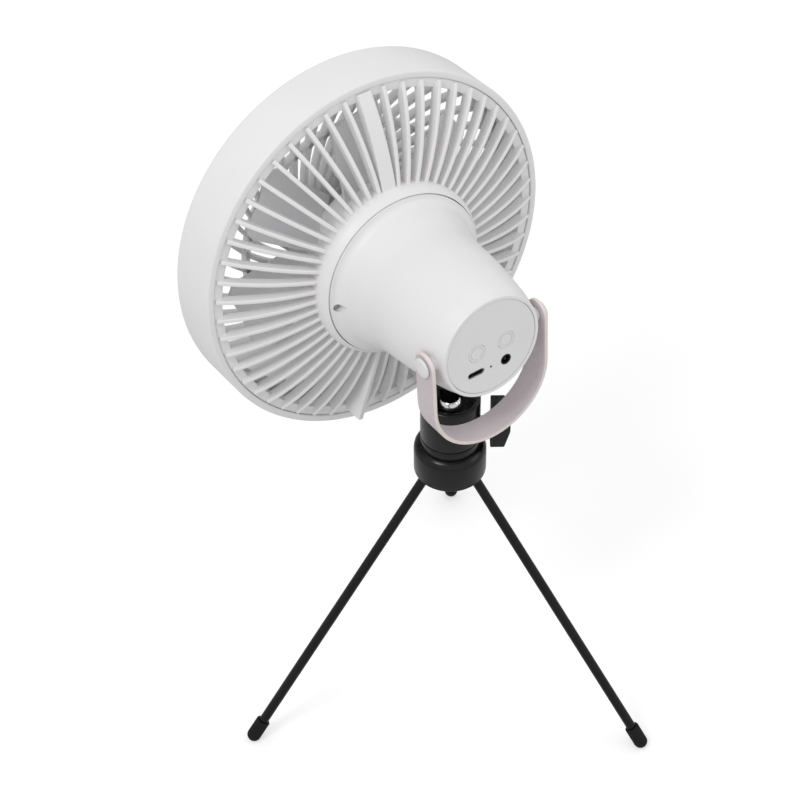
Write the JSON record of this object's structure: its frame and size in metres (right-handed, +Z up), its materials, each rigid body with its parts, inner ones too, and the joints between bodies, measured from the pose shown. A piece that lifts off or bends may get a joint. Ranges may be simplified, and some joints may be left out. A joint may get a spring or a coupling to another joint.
{
  "type": "portable camping fan",
  "caption": "Drum fan head with tapered hub, swirled blades and carry strap, on a mini ball head and a folding leg stand.",
  "frame": {"origin": "on the floor, under the stand's axis", "axes": "+Z up, +Y towards the back of the fan head, so the fan blows towards -Y; +X to the left as seen from behind"},
  "size_m": [0.2122, 0.2081, 0.3369],
  "materials": {
    "white_plastic": "satin",
    "cap_plastic": "satin",
    "blade_plastic": "satin",
    "strap_rubber": "matt",
    "black_plastic": "satin",
    "black_metal": "gloss",
    "black_aluminium": "anodised",
    "black_rubber": "matt",
    "chrome": "polished",
    "steel": "plain",
    "brass": "plain",
    "board": "matt",
    "cell_can": "film",
    "inner_plastic": "matt",
    "lamp_lens": "frosted",
    "port_black": "matt"
  },
  "bodies": {
    "stand": {"tripod_collar": "black_plastic", "leg_carrier": "black_plastic", "leg_pivot_pins": "steel", "centre_screw": "steel"},
    "ball_base": {"housing_base": "black_plastic", "ball_housing": "black_plastic", "clamp_cup": "inner_plastic"},
    "knob": {"clamp_knob": "black_plastic", "clamp_screw": "steel"},
    "ball": {"lock_ball": "chrome", "ball_stem": "black_metal", "camera_platform": "black_aluminium", "platform_pad": "black_rubber", "mount_stud": "steel"},
    "fan_head": {"drum_shroud": "white_plastic", "rear_grille": "white_plastic", "front_grille": "white_plastic", "lamp_board": "board", "lamp_lens": "lamp_lens", "hub_shell": "white_plastic", "hub_screws": "steel", "socket_insert": "brass", "end_cap": "cap_plastic", "button_switches": "inner_plastic", "control_board": "board", "usb_c_port": "steel", "dc_jack": "port_black", "indicator_lens": "inner_plastic", "battery_cells": "cell_can", "battery_cradle": "inner_plastic", "motor_bearings": "steel", "motor_stator": "steel", "strap_pins": "white_plastic"},
    "impeller": {"impeller": "blade_plastic", "motor_rotor": "steel"},
    "strap": {"carry_strap": "strap_rubber"},
    "fan_button": {"fan_button": "cap_plastic"},
    "light_button": {"light_button": "cap_plastic"},
    "leg_a": {"leg_rod_a": "black_metal", "leg_foot_a": "black_rubber"},
    "leg_b": {"leg_rod_b": "black_metal", "leg_foot_b": "black_rubber"},
    "leg_c": {"leg_rod_c": "black_metal", "leg_foot_c": "black_rubber"}
  },
  "joints": [
    {"name": "leg_a_fold", "type": "hinge", "parent": "stand", "child": "leg_a", "pos_m": [0.00816, -0.00086, 0.1551], "axis": [0.1045, 0.9945, 0], "range_deg": [0, 35.3]},
    {"name": "leg_b_fold", "type": "hinge", "parent": "stand", "child": "leg_b", "pos_m": [-0.00333, 0.00749, 0.1551], "axis": [-0.9135, -0.4067, 0], "range_deg": [0, 35.3]},
    {"name": "leg_c_fold", "type": "hinge", "parent": "stand", "child": "leg_c", "pos_m": [-0.00482, -0.00663, 0.1551], "axis": [0.809, -0.5878, 0], "range_deg": [0, 35.3]},
    {"name": "head_pan", "type": "hinge", "parent": "stand", "child": "ball_base", "pos_m": [0, 0, 0.1663], "axis": [0, 0, 1], "continuous": true},
    {"name": "clamp_knob_turn", "type": "hinge", "parent": "ball_base", "child": "knob", "pos_m": [-0.01658, 0.01118, 0.179], "axis": [-0.829, 0.5592, 0], "range_deg": [0, 270]},
    {"name": "ball_tilt", "type": "hinge", "parent": "ball_base", "child": "ball", "pos_m": [0, 0, 0.1902], "axis": [1, 0, 0], "range_deg": [-20, 20]},
    {"name": "head_swivel", "type": "hinge", "parent": "ball", "child": "fan_head", "pos_m": [0, 0, 0.1902], "axis": [0, -0.1045, 0.9945], "continuous": true},
    {"name": "impeller_spin", "type": "hinge", "parent": "fan_head", "child": "impeller", "pos_m": [0, -0.05945, 0.24398], "axis": [0, 0.9945, 0.1045], "continuous": true},
    {"name": "strap_swing", "type": "hinge", "parent": "fan_head", "child": "strap", "pos_m": [0, 0.02409, 0.25276], "axis": [1, 0, 0], "range_deg": [-3.5, 200]},
    {"name": "fan_button_press", "type": "slide", "parent": "fan_head", "child": "fan_button", "axis": [0, -0.9945, -0.1045], "range_m": [0, 0.0006], "stiffness_N_per_m": 1500, "springref_m": -0.0005},
    {"name": "light_button_press", "type": "slide", "parent": "fan_head", "child": "light_button", "axis": [0, -0.9945, -0.1045], "range_m": [0, 0.0006], "stiffness_N_per_m": 1500, "springref_m": -0.0005}
  ]
}
